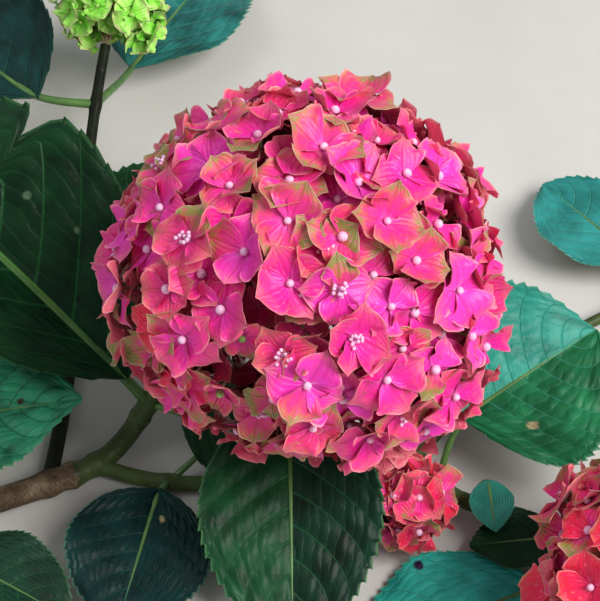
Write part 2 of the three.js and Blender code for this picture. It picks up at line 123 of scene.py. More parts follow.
# Stems, as in the source: where each starts and ends, with its heading and rise there.
STEMS = {
    "cane_low": Row(start=CUT_END, leave=(30, 0), to=LOW_NODE, arrive=(16, 0), radius=(6.6, 6)),
    "cane_top": Row(start=LOW_NODE, leave=(16, 0), to=FORK, arrive=(24, 0), radius=(6, 5.4)),
    "main_low": Row(start=FORK, leave=(24, 0), to=UPPER_NODE, arrive=(46, 42), radius=(5, 4.4)),
    "main_up": Row(start=UPPER_NODE, leave=(46, 42), head="main_bloom", radius=(4.2, 3.4)),
    "young_shoot": Row(
        beside="cane_top", at=0.86, leave=(84, -8.5), head="young_bloom", radius=(3.6, 2.6)
    ),
    "right_shoot": Row(
        beside="main_low", at=0.26, leave=(-24, -6), to=RIGHT_NODE, arrive=(-30, 2),
        radius=(3.6, 3.2),
    ),
    "second_shoot": Row(
        beside="right_shoot", at=0.68, leave=(16, 20), head="second_bloom", radius=(2.6, 2.3)
    ),
    "third_shoot": Row(start=RIGHT_NODE, leave=(-30, 2), head="third_bloom", radius=(3.2, 2.8)),
    "far_shoot": Row(
        beside="right_shoot", at=0.86, leave=(56, 6), to=FAR_TIP, arrive=(25, 10),
        radius=(3, 2.4), bud=True,
    ),
}

# Leaves, as in the source: the stem and the place on it, the stalk and the blade, each with a
# heading, a rise and a length, half the blade's width, and its fold, roll and droop in degrees.
LEAF_KEYS = ("on", "at", "stalk", "blade", "half", "fold", "roll", "droop")
LEAVES = {row[0]: Row(zip(LEAF_KEYS, row[1:])) for row in (
    ("leaf_large", "main_up", 0.06, (166, 60, 17), (142, 27, 186), 64, 30, 0, 10),
    ("leaf_low_inner", "main_up", 0.06, (-30, 16, 18), (-20, -2, 64), 27, 10, 0, 16),
    ("leaf_front", "main_up", 0.6, (-52, -10, 45), (-89, -8, 112), 40, 10, 0, 34),
    ("leaf_back", "main_up", 0.6, (59, 8, 55), (82, -28, 93), 35, 10, 0, 30),
    ("leaf_low_left", "right_shoot", 0.2, (-110, 40, 13), (-103, -2, 72), 33, 12, -6, 10),
    ("leaf_low_back", "right_shoot", 0.2, (40, 18, 18), (60, -2, 60), 22, 10, 0, 8),
    ("leaf_left_tip", "cane_top", 0.08, (110, 42, 42), (3, 15, 86), 38, 8, 0, 8),
    ("leaf_corner", "cane_top", 0.08, (-50, 20, 30), (-27, -4, 61), 24, 10, 0, 10),
    ("leaf_upper_left", "young_shoot", 0.88, (178, 6, 28), (136, 2, 132), 48, 12, 0, 18),
    ("leaf_upper", "young_shoot", 0.88, (72, -22, 48), (66, -2, 112), 39, 10, 0, 14),
    ("leaf_middle", "young_shoot", 0.38, (25, 37, 26), (70, 2, 92), 37, 12, 0, 16),
    ("leaf_middle_left", "young_shoot", 0.38, (170, 30, 22), (150, 0, 78), 29, 12, 0, 22),
    ("leaf_right", "right_shoot", 0.96, (60, 50, 34), (29, 20, 72), 49, 12, 18, 16),
    ("leaf_small", "third_shoot", 0.09, (8, 62, 17), (-84, -8, 24), 10, 10, 0, 8),
    ("leaf_low_right", "third_shoot", 0.42, (-86, 7, 30), (-160, -2, 86), 34, 6, 6, 8),
    ("leaf_low_dark", "third_shoot", 0.42, (-32, 26, 15), (184, -1, 38), 16, 8, 0, 6),
    ("leaf_far", "far_shoot", 0.8, (110, 35, 14), (127, 4, 70), 30, 12, 0, 16),
    ("leaf_far_right", "far_shoot", 0.8, (-40, 17, 24), (-46, -1, 72), 28, 12, 0, 20),
)}
LEAF_TEARS = {"leaf_large": [(1, 0.565, 0.03, 0.32)]}  # side, place, half width and depth
TOOTH_SHARES = {"leaf_large": 0.5}  # depth of the teeth against the usual
PILLOWS = {  # height of the fields between veins, left and right, in hundredths of the length
    "leaf_front": (2.0, 2.0), "leaf_left_tip": (2.0, 2.0), "leaf_right": (0.8, 2.2),
}

# The row's origin, measured in the frame of the places above.
SHIFT = np.array(frame["record"]["mounts"][0]["pos_m"]) / MM - np.array(CUT_END)


def chances(seed):
    """The source's run of chances for a seed."""
    state = seed
    while True:
        state = state * 16807 % 2147483647
        yield state / 2147483647


def facing(heading, rise):
    h, r = radians(heading), radians(rise)
    return np.array([cos(r) * cos(h), cos(r) * sin(h), sin(r)])


def unit(vectors):
    return vectors / np.linalg.norm(vectors, axis=-1, keepdims=True)


def sideways(axis):
    """Directions square to each axis and level, and square to both."""
    right = unit(np.cross(axis, (0.0, 0.0, 1.0)))
    return right, np.cross(right, axis)


def around(axis, turn):
    """The direction square to an axis that lies round it by an angle."""
    right, over = sideways(axis)
    return over * cos(turn) + right * sin(turn)


def tilted(axis, off, turn):
    """The direction that lies off an axis by one angle and round it by the other."""
    return axis * cos(off) + around(axis, turn) * sin(off)


def bell(x, width):
    """1 where x is 0, fading over a width on both sides."""
    return np.exp(-((x / width) ** 2))


def angles_round(sides):
    return 2 * np.pi * np.arange(sides) / sides


def add_object(name, data, place=(0, 0, 0), aim=None):
    thing = bpy.data.objects.new(name, data)
    thing.location = Vector(place)
    if aim is not None:
        thing.rotation_euler = Vector(aim).to_track_quat("-Z", "Y").to_euler()
    bpy.context.scene.collection.objects.link(thing)
    return thing


class Curve:
    """A stem's path, which keeps its heading at both ends."""

    def __init__(self, start, leave, end, arrive):
        handle = np.linalg.norm(end - start) * STEM_HANDLE
        self.poles = np.array([start, start + leave * handle, end - arrive * handle, end])

    def points(self, t):
        t = np.asarray(t, float)[..., None]
        a, b, c, d = self.poles
        return a * (1 - t) ** 3 + b * 3 * t * (1 - t) ** 2 + c * 3 * t * t * (1 - t) + d * t**3

    def length(self):
        return np.linalg.norm(np.diff(self.points(np.linspace(0, 1, 201)), axis=0), axis=1).sum()


class Pile:
    """Points, faces, map places and material numbers gathered for one mesh, in millimetres."""

    def __init__(self, *materials):
        self.materials = materials
        self.points, self.faces, self.places, self.slots, self.rims = [], [], [], [], []
        self.count = 0

    def add(self, points, faces, places, slot=0, rim=None):
        """places holds a map place for each corner of each face, or one for all.

        Edges between two points of the rim stay crisp, and all others are smooth.
        """
        points = np.reshape(points, (-1, 3))
        self.points.append(points)
        self.rims.append(np.zeros(len(points), bool) if rim is None else rim)
        self.add_faces(faces, places, slot, self.count)
        self.count += len(points)

    def add_faces(self, faces, places, slot, first):
        """More faces on points that are there already, numbered from first."""
        faces = np.asarray(faces)
        self.faces += (faces + first).tolist()
        self.places.append(np.broadcast_to(places, faces.shape + (2,)).reshape(-1, 2))
        self.slots.append(np.full(len(faces), slot))

    def add_sheet(self, surface, normal, thickness, sheet, slots, bands, margin=0.0):
        """A closed sheet whose front and back each lie in a band of the map."""
        if normal is None:
            normal = unit(np.cross(np.gradient(surface, axis=1), np.gradient(surface, axis=0)))
        under = (surface - normal * thickness)[1:-1, 1:-1]
        front, back, rim, flat = sheet
        upper, lower = [
            flat[faces] * (1 - 2 * margin, high - low) + (margin, low)
            for faces, (low, high) in zip((front, back), bands)
        ]
        first = self.count
        points = np.concatenate([surface.reshape(-1, 3), under.reshape(-1, 3)])
        self.add(points, front, upper, slots[0], rim)
        self.add_faces(back, lower, slots[1], first)

    def build(self, name, node):
        mesh = bpy.data.meshes.new(name)
        placed = (np.concatenate(self.points) + SHIFT) * MM
        placed[:, 2] = np.maximum(placed[:, 2], 0)  # what touches the floor is pressed flat on it
        mesh.from_pydata(placed.tolist(), [], self.faces)
        layer = mesh.uv_layers.new(name="OFBake")
        layer.data.foreach_set("uv", np.concatenate(self.places).ravel())
        for material in self.materials:
            mesh.materials.append(material)
        mesh.polygons.foreach_set("material_index", np.concatenate(self.slots))
        mesh.polygons.foreach_set("use_smooth", np.ones(len(self.faces), bool))
        ends = np.empty(2 * len(mesh.edges), np.int32)
        mesh.edges.foreach_get("vertices", ends)
        crisp = np.concatenate(self.rims)[ends].reshape(-1, 2).all(axis=1)
        mesh.attributes.new("sharp_edge", "BOOLEAN", "EDGE").data.foreach_set("value", crisp)
        mesh.update()
        piece = add_object(name, mesh)
        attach(piece, "root")
        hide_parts(node)


def plan_sheet(u, v):
    """Front and back faces of a sheet whose two grids share their rim, that rim, and map places.

    u runs from 0 to 1 along the sheet, and v from -1 to 1 across.
    """
    front = np.arange(u.size).reshape(u.shape)
    inner = front[1:-1, 1:-1]
    back = front.copy()
    back[1:-1, 1:-1] = u.size + np.arange(inner.size).reshape(inner.shape)
    rim = np.arange(u.size + inner.size) < u.size
    rim[inner] = False
    cells = [
        np.stack([g[:-1, :-1], g[:-1, 1:], g[1:, 1:], g[1:, :-1]], axis=-1).reshape(-1, 4)
        for g in (front, back)
    ]
    flat = np.stack([u, (v + 1) / 2], axis=-1)
    flat = np.concatenate([flat.reshape(-1, 2), flat[1:-1, 1:-1].reshape(-1, 2)])
    return cells[0], cells[1][:, [0, 3, 2, 1]], rim, flat


def quads_between(rings, sides):
    base = np.arange((rings - 1) * sides).reshape(-1, sides)
    after = np.roll(base, -1, axis=1)
    return np.stack([base, after, after + sides, base + sides], axis=-1).reshape(-1, 4)


def fan(ring, middle):
    return np.stack([ring, np.roll(ring, -1), np.full(len(ring), middle)], axis=-1)


def add_tube(pile, points, radii, sides, slot=0, place=(0.5, 0.5), cut_slot=None):
    """A closed round tube. radii holds one radius a ring, or one for each of its sides."""
    points = np.asarray(points, float)
    right, over = sideways(unit(np.gradient(points, axis=0)) + (1e-9, 2e-9, 0))
    angle = angles_round(sides)[:, None]
    spokes = over[:, None] * np.cos(angle) + right[:, None] * np.sin(angle)
    rings = points[:, None] + spokes * np.reshape(radii, (len(points), -1, 1))
    first, count = pile.count, len(points) * sides
    rim = np.zeros(count + 2, bool)
    rim[:sides] = rim[count - sides:count] = True
    placed = np.vstack([rings.reshape(-1, 3), points[0], points[-1]])
    pile.add(placed, quads_between(len(points), sides), place, slot, rim)
    ends = np.arange(sides)
    pile.add_faces(fan(ends[::-1], count), place, slot if cut_slot is None else cut_slot, first)
    pile.add_faces(fan(count - sides + ends, count + 1), place, slot, first)


def ball(rows, sides):
    """Points of a ball of radius 1 round +Z, and its faces as quads and triangles."""
    turns = (np.pi * np.arange(1, rows) / rows)[:, None]
    angle = angles_round(sides)
    round_x, round_y = np.sin(turns) * np.cos(angle), np.sin(turns) * np.sin(angle)
    rings = np.stack([round_x, round_y, np.cos(turns) + 0 * angle], axis=-1).reshape(-1, 3)
    points = np.vstack([rings, (0, 0, 1), (0, 0, -1)])
    ends = np.arange(sides)
    foot = fan(ends + (rows - 2) * sides, len(rings) + 1)[:, [1, 0, 2]]
    quads = quads_between(rows - 1, sides)[:, [0, 3, 2, 1]]
    return points, quads, np.vstack([fan(ends, len(rings)), foot])


def operator(operation, swapped=False):
    def method(self, *others):
        values = (*others, self) if swapped else (self, *others)
        return self.paint.sum(operation, *values)

    return method


class Amount:
    """A number that varies over a surface. A sum with it is a node of its material."""

    def __init__(self, paint, socket):
        self.paint, self.socket = paint, socket

    __add__ = operator("ADD")
    __sub__ = operator("SUBTRACT")
    __rsub__ = operator("SUBTRACT", swapped=True)
    __mul__ = operator("MULTIPLY")
    __truediv__ = operator("DIVIDE")
    __pow__ = operator("POWER")
    __gt__ = operator("GREATER_THAN")
    __abs__ = operator("ABSOLUTE")


class Paint:
    """A Principled material, and the nodes that its patterns are built from."""

    def __init__(self, name, shine, rough=0.5, more=()):
        self.material = bpy.data.materials.new(name)
        self.material.use_nodes = True
        self.tree = self.material.node_tree
        self.shader = self.tree.nodes["Principled BSDF"]
        constants = {"Specular IOR Level": shine, "Roughness": rough, **dict(more)}
        for socket, value in constants.items():
            self.shader.inputs[socket].default_value = value

    def node(self, kind, inputs=(), **settings):
        node = self.tree.nodes.new(kind)
        for key, value in settings.items():
            setattr(node, key, value)
        for key, value in dict(inputs).items():
            self.set(node.inputs[key], value)
        return node

    def set(self, socket, value):
        if isinstance(value, Amount):
            value = value.socket
        if isinstance(value, bpy.types.NodeSocket):
            self.tree.links.new(value, socket)
        elif socket.type == "RGBA":
            socket.default_value = (*value, 1)
        else:
            socket.default_value = value

    def sum(self, operation, *values):
        node = self.node("ShaderNodeMath", enumerate(values), operation=operation)
        return Amount(self, node.outputs[0])

    def step(self, value, low, high):
        """0 below low and 1 above high, with a smooth rise between."""
        inputs = {"Value": value, "From Min": low, "From Max": high}
        node = self.node("ShaderNodeMapRange", inputs, interpolation_type="SMOOTHSTEP")
        return Amount(self, node.outputs["Result"])

    def mix(self, share, first, second):
        inputs = {0: share, 6: first, 7: second}  # those that a mix of colours uses
        return self.node("ShaderNodeMix", inputs, data_type="RGBA").outputs[2]

    def ramp(self, value, stops):
        node = self.node("ShaderNodeValToRGB", {"Fac": value})
        elements = node.color_ramp.elements
        for _ in range(len(stops) - 2):
            elements.new(0.5)
        for element, (position, colour) in zip(elements, stops):
            element.position = position
            element.color = (*colour, 1)
        return node.outputs["Color"]

    def noise(self, vector, scale, detail):
        inputs = {"Vector": vector, "Scale": scale, "Detail": detail}
        return Amount(self, self.node("ShaderNodeTexNoise", inputs).outputs["Fac"])

    def place(self):
        """The two numbers of the mesh's own map."""
        uv = self.node("ShaderNodeUVMap", uv_map="OFBake").outputs["UV"]
        parts = self.node("ShaderNodeSeparateXYZ", {"Vector": uv})
        return Amount(self, parts.outputs["X"]), Amount(self, parts.outputs["Y"])

    def vector(self, x, y, z=0.0):
        return self.node("ShaderNodeCombineXYZ", {"X": x, "Y": y, "Z": z}).outputs[0]

    def spot(self):
        """The place on the object itself, in metres."""
        return self.node("ShaderNodeTexCoord").outputs["Object"]

    def finish(self, colour, roughness=None, height=None, depth=0.001, strength=0.5):
        self.set(self.shader.inputs["Base Color"], colour)
        if roughness is not None:
            self.set(self.shader.inputs["Roughness"], roughness)
        if height is not None:
            inputs = {"Height": height, "Distance": depth, "Strength": strength}
            bump = self.node("ShaderNodeBump", inputs)
            self.set(self.shader.inputs["Normal"], bump.outputs["Normal"])
        return self.material


def grained_paint(name, shine, rough, stops, grain, relief=None, depth=0.0002):
    """A paint of one ramp over a noise. grain and relief are each a noise's scale and detail."""
    paint = Paint(name, shine, rough)
    spot = paint.spot()
    height = relief and paint.noise(spot, *relief)
    return paint.finish(paint.ramp(paint.noise(spot, *grain), stops), None, height, depth)


# Camera, light and floor.

BLOOM = np.array(HEADS["main_bloom"].centre, float)
VIEW_RISE = 50  # degrees that the camera looks down by
VIEW_DISTANCE = 900  # from the middle of the large head
PIXELS_PER_MM = 2.5  # there, in a picture 601 pixels high
PICTURE_HEIGHT = 601
SENSOR = 36  # its width
BLOOM_LEFT = 2  # pixels that the head's middle lies left of and above the picture's
BLOOM_ABOVE = 24.5
FLOOR_HALF = 4.0  # half the floor's side, in metres
SKY_COLOUR = (0.92, 0.96, 1.0, 1)
SKY_STRENGTH = 0.36
LIGHTS = (  # name, heading and rise, then distance and size in metres, power and colour
    ("key", -30, 49, 2.2, 1.3, 50, (1.0, 0.985, 0.96)),
    ("rim", 172, 58, 2.4, 1.4, 9, (0.94, 0.97, 1.0)),
)


def make_camera():
    data = bpy.data.cameras.new("camera")
    data.sensor_fit = "AUTO"
    data.sensor_width = SENSOR
    data.lens = VIEW_DISTANCE * PIXELS_PER_MM * SENSOR / PICTURE_HEIGHT
    back = -facing(90, -VIEW_RISE)
    right, over = sideways(-back)
    target = BLOOM + right * BLOOM_LEFT / PIXELS_PER_MM - over * BLOOM_ABOVE / PIXELS_PER_MM
    place = BLOOM + back * VIEW_DISTANCE
    bpy.context.scene.camera = add_object("camera", data, (place + SHIFT) * MM, target - place)


def make_light(name, heading, rise, distance, size, power, colour):
    data = bpy.data.lights.new(name, "AREA")
    data.shape = "DISK"
    data.size = size
    data.energy = power
    data.color = colour
    back = facing(heading, rise)
    add_object(name, data, back * distance, -back)


def make_studio():
    world = bpy.data.worlds.new("studio")
    world.use_nodes = True
    background = world.node_tree.nodes["Background"]
    background.inputs["Color"].default_value = SKY_COLOUR
    background.inputs["Strength"].default_value = SKY_STRENGTH
    bpy.context.scene.world = world
    for light in LIGHTS:
        make_light(*light)
    bpy.context.scene.view_settings.view_transform = "Standard"
    stops = [(0.3, (0.6, 0.58, 0.55)), (0.7, (0.64, 0.62, 0.59))]
    mesh = bpy.data.meshes.new("floor")
    corners = [(-1, -1), (1, -1), (1, 1), (-1, 1)]
    mesh.from_pydata([(x * FLOOR_HALF, y * FLOOR_HALF, 0) for x, y in corners], [], [range(4)])
    mesh.materials.append(grained_paint("floor_paint", 0.2, 0.8, stops, (18, 3)))
    floor = add_object("floor", mesh)


# Stems.


def stem_plan():
    """Each stem's row with its curve, its length and its nodes, by the source's rule."""
    plans = {}
    for name, stem in STEMS.items():
        head, parent = HEADS.get(stem.head), plans.get(stem.beside)
        arrive = facing(*(head.facing if head else stem.arrive))
        start = parent.curve.points(stem.at) if parent else np.array(stem.start, float)
        end = np.array(head.centre) - arrive * head.neck if head else np.array(stem.to)
        curve = Curve(start, facing(*stem.leave), end.astype(float), arrive)
        nodes = {leaf.at for leaf in LEAVES.values() if leaf.on == name}
        nodes |= {other.at for other in STEMS.values() if other.beside == name}
        if stem.start != CUT_END:
            nodes.add(0)
        if not head and not stem.bud:
            nodes.add(1)
        plans[name] = Row(stem, curve=curve, length=curve.length(), nodes=sorted(nodes))
    return plans


def stem_radius(plan, t):
    first, last = plan.radius
    reach = KNUCKLE_REACH / plan.length
    knuckle = np.max([bell(t - node, reach) for node in plan.nodes], axis=0)
    into_bud = np.clip((t - BUD_START) / (1 - BUD_START), 0, 1) if plan.bud else 0 * t
    return (first + (last - first) * t) * (1 + KNUCKLE * knuckle) * (1 - BUD_TAPER * into_bud**2)


def bark_paint():
    paint = Paint("bark", 0.25, 0.8)
    spot = paint.spot()
    shade = paint.noise(spot, 90, 4) * 0.7 + paint.noise(spot, 900, 3) * 0.3
    colour = paint.ramp(shade, [
        (0.36, (0.055, 0.033, 0.018)), (0.48, (0.12, 0.08, 0.045)),
        (0.56, (0.2, 0.145, 0.09)), (0.66, (0.29, 0.23, 0.155)),
    ])
    return paint.finish(colour, height=shade, depth=0.0012, strength=0.6)


def shoot_paint(name, dark, light, speck, shine=0.3):
    """Green bark with small raised pores."""
    paint = Paint(name, shine, 0.45)
    spot = paint.spot()
    broad = paint.noise(spot, 60, 3)
    fine = paint.noise(spot, 700, 2)
    colour = paint.ramp(broad, [(0.35, dark), (0.65, light)])
    pores = paint.step(paint.noise(spot, 420, 1), 0.66, 0.72)
    colour = paint.mix(pores, colour, speck)
    return paint.finish(colour, height=pores * 0.8 + fine * 0.4, depth=0.0004)


RING_STEP = 0.9  # between the rings of a stem's finer mesh
SHOOT_MESH = (28, 6, 0.16)  # sides, ribs, and depth of the relief
CANE_MESH = (44, 9, 0.5)
SCAR_WIDTH = 1.1  # of the groove at a node
RELIEF_REACH = (0.97, 1.02)  # radius from which relief rises, and at most, against the source's


def build_stem(name, plan, paints):
    """A stem with ribs, pores and leaf scars, finer than the source's but within its reach."""
    woody = name.startswith("cane")
    sides, ribs, depth = CANE_MESH if woody else SHOOT_MESH
    t = np.linspace(0, 1, int(plan.length / RING_STEP) + 2)
    radius = stem_radius(plan, t)
    angle = angles_round(sides)
    along = t * plan.length
    rng = np.random.default_rng(len(name) + int(plan.length))
    relief = np.zeros((len(t), sides))
    for _ in range(ribs):
        turn, width, phase = rng.uniform(0, 2 * np.pi), rng.uniform(0.1, 0.3), rng.uniform(0, 6)
        drift = turn + 0.35 * np.sin(along / 23 + phase)
        gap = np.angle(np.exp(1j * (angle[None] - drift[:, None])))
        relief += bell(gap, width) * (0.5 + 0.5 * np.sin(along / 9 + phase))[:, None]
    relief = relief / ribs
    if woody:
        relief += rng.normal(0, 0.03, relief.shape)
    for node in plan.nodes:
        scar = bell(along - node * plan.length, SCAR_WIDTH)
        relief -= scar[:, None] * (0.35 + 0.1 * np.cos(2 * angle))[None]
    base, most = RELIEF_REACH
    radii = np.minimum(radius[:, None] * base + depth * relief, radius[:, None] * most)
    pile = Pile(*paints)
    add_tube(pile, plan.curve.points(t), radii, sides, cut_slot=1)
    pile.build(name + ("_bark" if woody else "_skin"), name)


def build_stems(plans):
    bark = bark_paint()
    stops = [(0.35, (0.42, 0.4, 0.24)), (0.7, (0.62, 0.6, 0.42))]
    pith = grained_paint("cut_wood", 0.2, 0.75, stops, (700, 3), (700, 3), 0.0003)
    shoot = shoot_paint("shoot", (0.03, 0.052, 0.014), (0.075, 0.115, 0.03), (0.16, 0.13, 0.06))
    dark = shoot_paint(
        "young_shoot_green", (0.005, 0.007, 0.003), (0.012, 0.018, 0.006), (0.03, 0.03, 0.02), 0.12
    )
    skins = dict(cane_low=bark, cane_top=bark, young_shoot=dark)
    for name, plan in plans.items():
        build_stem(name, plan, (skins.get(name, shoot), pith))


# Leaves.

FRONT_BAND = (0.02, 0.6)  # where a leaf's faces and stalk lie in its map
BACK_BAND = (0.64, 0.9)
STALK_PLACE = (0.5, 0.96)
STALK_SIDES = 12
STALK_RINGS = 26
RIB_RINGS = 40
RIB_END = 0.97  # share of the blade's length at which the midrib ends
TEETH_SPLIT = 3  # fine teeth for each one of the source
TOOTH_DEPTH = 0.045  # of a fine tooth, against the half width
TOOTH_ROWS = (0.1, 0.35, 0.6, 0.8, 0.92)  # of the mesh, along a fine tooth
BLADE_ENDS = (0.0004, 0.9985)  # where its mesh starts and ends, against its length
VEINS = 8  # side veins on each half
RUNGS = 9  # cross veins from midrib to margin
VEIN_SWEEP = 0.3  # how far a side vein runs towards the tip, as a share of the length
VEIN_CURVE = 1.25  # how much it bends on its way
FIELDS = 5  # raised fields between two side veins, from midrib to margin
FIELD_SHIFT = 0.37  # by how much the fields beyond a vein are set on
MAP_MARGIN = 0.01  # left free at both ends of the leaf's map
LEAF_SHEET = 0.32  # thickness
LEAF_COLUMNS = 41
COLUMN_SPREAD = 0.9  # how much closer the columns stand at the margins: 1 is the most
TOOTH_RISE = 0.8  # share of a tooth that its long side takes
TOOTH_LEAN = 0.35  # how far a tooth points ahead
CHANNEL = 1.1  # depth of the channel over the midrib, in hundredths of the length


def leaf_outline(t):
    def rise(at):
        return at**LEAF_BASE_ROUND * (1 - at) ** LEAF_TIP_ROUND

    return rise(t) / rise(LEAF_BASE_ROUND / (LEAF_BASE_ROUND + LEAF_TIP_ROUND))


def leaf_axes(leaf, plans):
    """Where the blade starts and its forward, right and over directions."""
    node = plans[leaf.on].curve.points(leaf.at)
    heading, rise, reach = leaf.stalk
    base = node + facing(heading, rise) * reach
    forward = facing(*leaf.blade[:2])
    right, over = sideways(forward)
    roll = radians(leaf.roll)
    right = right * cos(roll) - over * sin(roll)
    return node, base, forward, right, np.cross(right, forward)


def leaf_surface(leaf, axes, t, v, half_width, relief=0.0):
    """Points of the blade's middle surface: t from base to tip, v from edge to edge."""
    _, base, forward, right, over = axes
    droop, fold = radians(leaf.droop), radians(leaf.fold)
    length = leaf.blade[2]
    bend = droop * t
    lag = np.where(v > 0, 0, LEAF_WAVE_LAG)
    ripple = np.sin(2 * np.pi * LEAF_WAVES * t + lag)
    soft = np.sqrt(v * v + 0.0025) - 0.05
    lift = soft * half_width * sin(fold) + LEAF_WAVE * leaf.half * v * v * ripple + relief
    ahead = length * np.sin(bend) / droop + lift * np.sin(bend)
    above = lift * np.cos(bend) - length * (1 - np.cos(bend)) / droop
    aside = v * half_width * cos(fold)
    return base + ahead[..., None] * forward + above[..., None] * over + aside[..., None] * right


def vein_count(t, v):
    """Side veins passed from the base on: a whole number on a vein."""
    return (t - abs(v) ** VEIN_CURVE * VEIN_SWEEP) * VEINS + (v > 0) * 0.5


def build_leaf(name, leaf, plans, paints):
    axes = leaf_axes(leaf, plans)
    length = leaf.blade[2]
    teeth = LEAF_TEETH * TEETH_SPLIT
    starts = np.arange(teeth)[:, None] / teeth
    rows = (starts + np.array(TOOTH_ROWS) / teeth).ravel()
    rows = np.concatenate([BLADE_ENDS[:1], rows, BLADE_ENDS[1:]])
    widest = np.pi / 2 * COLUMN_SPREAD
    columns = np.sin(np.linspace(-1, 1, LEAF_COLUMNS) * widest) / sin(widest)
    share = rows * teeth % 1
    profile = np.where(share < TOOTH_RISE, share / TOOTH_RISE, (1 - share) / (1 - TOOTH_RISE))
    rng = np.random.default_rng(leaf.half * 31 + int(length))
    uneven = rng.uniform(0.75, 1.25, teeth)[np.minimum((rows * teeth).astype(int), teeth - 1)]
    notch = TOOTH_DEPTH * TOOTH_SHARES.get(name, 1) * (1 - profile) * uneven
    t, v = np.meshgrid(rows, columns, indexing="ij")
    edge = np.abs(v) ** 10
    half = leaf.half * leaf_outline(t) * (1 - notch[:, None] * edge)
    for side, at, width, depth in LEAF_TEARS.get(name, ()):
        inside = np.clip(1 - np.abs(t - at) / width, 0, 1) * (v * side > 0)
        half = half * (1 - depth * inside)
    t = np.clip(t + TOOTH_LEAN / teeth * (profile[:, None] * edge), 0, 1)
    count = vein_count(t, v)
    away = np.abs(count - np.round(count))
    size = length / 100
    pillow = np.sin(np.pi * away) * np.clip(np.abs(v) * 5, 0, 1) * (1 - edge)
    field = np.cos(2 * np.pi * (FIELDS * np.abs(v) + FIELD_SHIFT * np.floor(count)))
    groove = bell(v, 0.045) * (1 - t)
    taper = np.clip(4 * leaf_outline(t), 0, 1)
    left, right = PILLOWS.get(name, (0.9, 0.9))
    quilt = np.where(v > 0, right, left)
    relief = size * taper * (quilt * pillow * (0.75 + 0.25 * field) - CHANNEL * groove)
    relief -= size * 0.4 * quilt * taper
    surface = leaf_surface(leaf, axes, t, v, half, relief)
    above = leaf_surface(leaf, axes, t, v, half, relief + 1)
    pile = Pile(*paints)
    bands = (FRONT_BAND, BACK_BAND)
    sheet = plan_sheet(t, v)
    pile.add_sheet(surface, above - surface, LEAF_SHEET, sheet, (0, 1), bands, MAP_MARGIN)
    add_stalk(pile, leaf, axes, length)
    pile.build(name + "_blade", name)


def add_stalk(pile, leaf, axes, length):
    """The leaf stalk, which runs on under the blade as its midrib."""
    node, _, forward, _, over = axes
    stout = PETIOLE_LEAST + length * PETIOLE_SHARE
    heading, rise, _ = leaf.stalk
    inside = leaf_surface(leaf, axes, np.array(STALK_OVERLAP), np.array(0.0), 0.0)
    curve = Curve(node, facing(heading, rise), inside - over * stout * 0.55, forward)
    t = np.linspace(0, 1, STALK_RINGS)
    rib_t = np.linspace(STALK_OVERLAP, RIB_END, RIB_RINGS)[1:]
    rib = leaf_surface(leaf, axes, rib_t, 0 * rib_t, 0.0, -length / 100 * 1.2)
    rib_radius = stout * 0.62 * (1 - rib_t) ** 0.8 + 0.12
    radii = np.concatenate([stout * (PETIOLE_FOOT - PETIOLE_TAPER * t), rib_radius])
    radii[:2] *= 1.18
    angle = angles_round(STALK_SIDES)
    channel = 1 - 0.22 * bell(np.minimum(angle, 2 * np.pi - angle), 0.6)
    points = np.vstack([curve.points(t), rib])
    add_tube(pile, points, radii[:, None] * channel, STALK_SIDES, 2, STALK_PLACE)


def leaf_pattern(paint, low, high, rib=1.0):
    """Of a blade: how far along and across, and the masks of side veins, rungs and midrib."""
    x, y = paint.place()
    along = (x - MAP_MARGIN) / (1 - 2 * MAP_MARGIN)
    across = (y * 2 - (high + low)) / (high - low)
    out = abs(across)
    count = vein_count(along, across)
    away = abs(count - paint.sum("ROUND", count))
    strayed = paint.noise(paint.vector(x, y), 9, 3) * 0.16 + out
    turns = strayed * RUNGS + paint.sum("FLOOR", count) * FIELD_SHIFT
    fade = paint.step(along, 0.0, 0.15) * (1 - paint.step(along, 0.6, 0.95))
    rungs = paint.sum("COSINE", turns * (2 * pi)) * fade
    vein = 1 - paint.step(away, 0.0, out * -0.045 + 0.075)
    rib_width = (along * -0.028 + 0.036) * rib
    midrib = 1 - paint.step(out, rib_width * 0.5, rib_width)
    return along, across, out, vein, rungs, midrib


def leaf_paint(name, look):
    """The upper side of a leaf: dark between the veins, glossy, with a paler rim, in greens that
    paint in its light and shade.
    """
    paint = Paint(name, look.shine)
    pattern = leaf_pattern(paint, *FRONT_BAND, look.get("rib_width", 1))
    along, across, out, vein, rungs, midrib = pattern
    length, half = look.size
    spot = paint.vector(along * length, across * half)
    groove = 1 - paint.step(rungs, -1.0, -0.7)
    cloud = paint.noise(spot, 0.05, 4)
    colour = paint.ramp(cloud, [(0.34, look.dark), (0.64, look.mid)])
    # A look's other greens paint one half of the blade lighter or darker than the other, as
    # painted light and shade.
    if look.other:
        dark, mid = look.other
        colour = paint.mix(across > 0.0, colour, paint.ramp(cloud, [(0.34, dark), (0.64, mid)]))
    for share, shade in (
        (groove * look.get("net", 0.1), "vein"), (vein * look.veins, "vein"),
        (midrib * 0.9, "rib"), (paint.step(out, 0.955, 0.99) * 0.5, "rim"),
    ):
        colour = paint.mix(share, colour, look[shade])
    for (t, v), radius, shade in look.get("spots", ()):
        ahead, aside = (along - t) * length, (across - v) * half
        gap = (ahead * ahead + aside * aside) ** 0.5 + paint.noise(spot, 0.5, 2) * (radius * 0.9)
        colour = paint.mix(1 - paint.step(gap, radius * 0.9, radius * 1.5), colour, shade)
    height = rungs * look.quilt - groove * 0.2 - vein * 0.7 - midrib * 0.5
    height = height + paint.noise(spot, 0.35, 3) * 0.5
    rough = paint.noise(spot, 0.12, 3) * 0.22 + (look.rough - 0.1)
    return paint.finish(colour, rough, height, depth=0.0009, strength=0.6)


